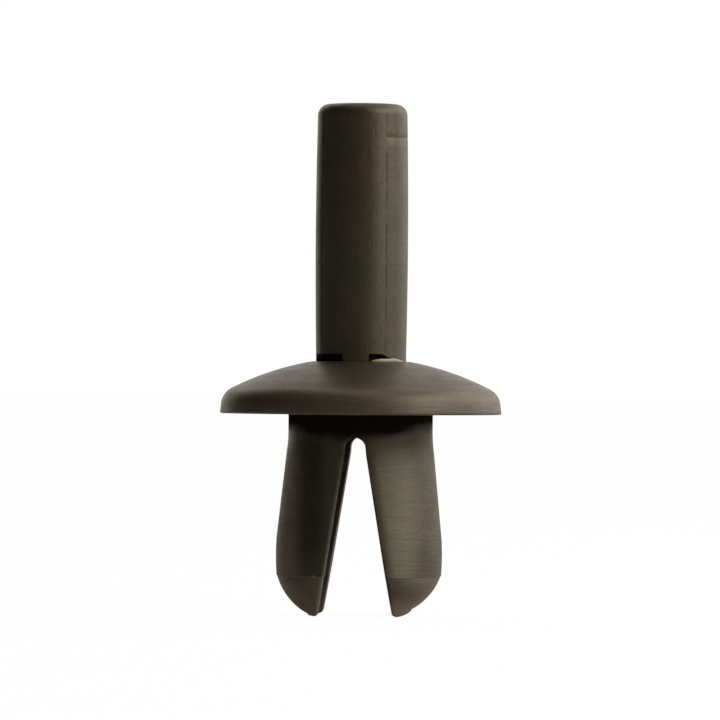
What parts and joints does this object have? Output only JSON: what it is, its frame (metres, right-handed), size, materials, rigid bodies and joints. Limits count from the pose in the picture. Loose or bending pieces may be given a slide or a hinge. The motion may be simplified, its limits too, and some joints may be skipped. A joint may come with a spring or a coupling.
{
  "type": "plastic push rivet",
  "caption": "Black moulded push rivet with a low domed head, a split and splayed hollow shank, and a drive pin that stands on break-off webs above the head.",
  "frame": {"origin": "centre of the head's flat seat, on the rivet's axis", "axes": "+Z along the axis towards the drive pin, the slot between the legs runs through along Y, and the legs lie at -X and +X"},
  "size_m": [0.0124, 0.0124, 0.0227],
  "materials": {
    "body_nylon": "satin black nylon, faintly mottled, with a polished rim",
    "pin_nylon": "satin black nylon, faintly mottled"
  },
  "bodies": {
    "rivet_body": {"rivet_body": "body_nylon"},
    "drive_pin": {"drive_pin": "pin_nylon"}
  },
  "joints": [
    {"name": "pin_drive", "type": "slide", "parent": "rivet_body", "child": "drive_pin", "axis": [0, 0, -1], "range_m": [0, 0.0115]}
  ]
}
